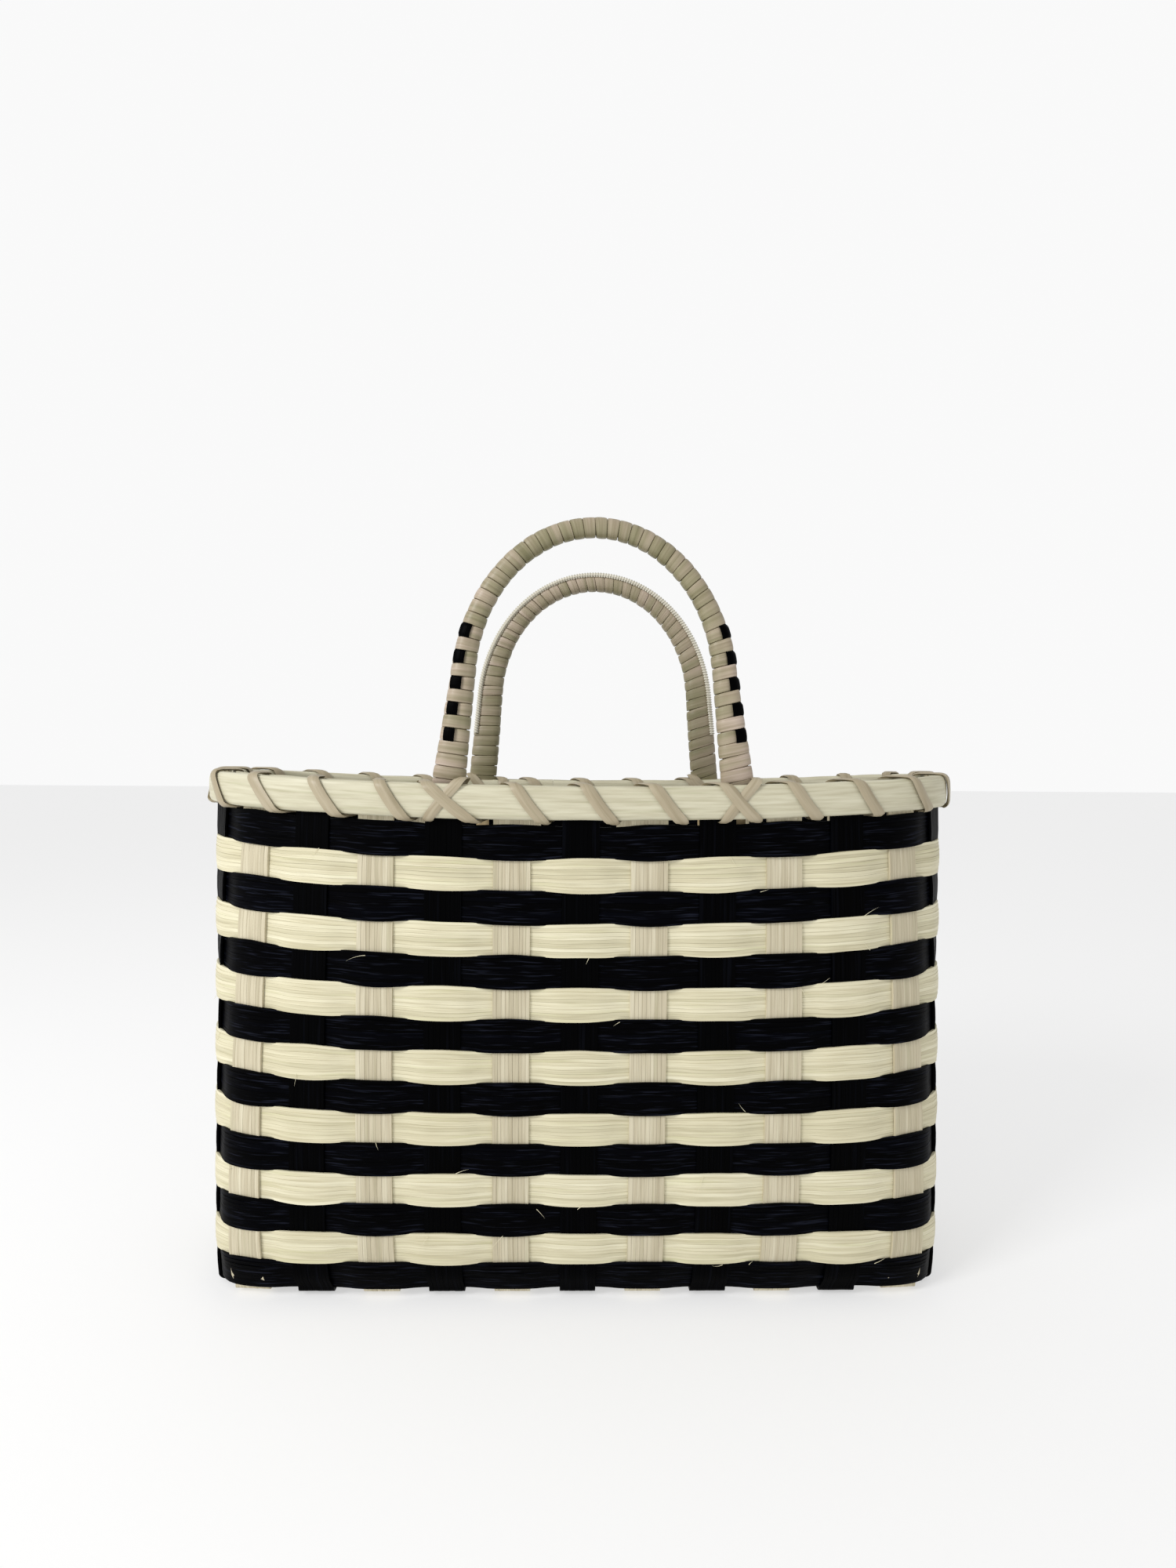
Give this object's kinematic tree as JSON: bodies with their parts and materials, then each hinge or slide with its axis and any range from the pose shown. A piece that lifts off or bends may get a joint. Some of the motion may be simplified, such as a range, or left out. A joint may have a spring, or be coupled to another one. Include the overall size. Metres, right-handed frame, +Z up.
{
  "type": "woven market basket",
  "caption": "Oblong flat-bottomed splint basket in two-colour plain weave, with a lashed cane rim and arched wrapped handles front and back.",
  "frame": {"origin": "middle of the base, on the surface the basket stands on", "axes": "+X along the basket's long side, -Y is the front, +Z up"},
  "size_m": [0.3494, 0.1458, 0.3368],
  "materials": {
    "natural_splint": "pale cream splint bundles, fine lengthwise grain, satin",
    "black_splint": "black-dyed splint bundles with a faint blue sheen along the strands",
    "rim_cane": "pale cane band with fine lengthwise grain",
    "lashing_cane": "smooth tan cane strip, low gloss",
    "handle_cane": "tan to grey-brown cane strip wound tightly, low gloss",
    "rattan_core": "peeled rattan, matte"
  },
  "bodies": {
    "root": {"cross_stake_01": "natural_splint", "cross_stake_02": "black_splint", "cross_stake_03": "natural_splint", "cross_stake_04": "black_splint", "cross_stake_05": "natural_splint", "cross_stake_06": "black_splint", "cross_stake_07": "natural_splint", "cross_stake_08": "black_splint", "cross_stake_09": "natural_splint", "cross_stake_10": "black_splint", "cross_stake_11": "natural_splint", "long_stake_1": "black_splint", "long_stake_2": "natural_splint", "long_stake_3": "black_splint", "weaver_01": "black_splint", "weaver_02": "natural_splint", "weaver_03": "black_splint", "weaver_04": "natural_splint", "weaver_05": "black_splint", "weaver_06": "natural_splint", "weaver_07": "black_splint", "weaver_08": "natural_splint", "weaver_09": "black_splint", "weaver_10": "natural_splint", "weaver_11": "black_splint", "weaver_12": "natural_splint", "weaver_13": "black_splint", "weaver_14": "natural_splint", "weaver_15": "black_splint", "rim_outer_band": "rim_cane", "rim_inner_band": "rim_cane", "rim_lashing": "lashing_cane", "front_handle_core": "rattan_core", "front_handle_wrap": "handle_cane", "front_handle_bead": "lashing_cane", "front_handle_accent_left": "black_splint", "front_left_handle_tie": "lashing_cane", "front_handle_accent_right": "black_splint", "front_right_handle_tie": "lashing_cane", "rear_handle_core": "rattan_core", "rear_handle_wrap": "handle_cane", "rear_handle_bead": "lashing_cane", "rear_handle_accent_left": "black_splint", "rear_left_handle_tie": "lashing_cane", "rear_handle_accent_right": "black_splint", "rear_right_handle_tie": "lashing_cane"}
  },
  "joints": []
}
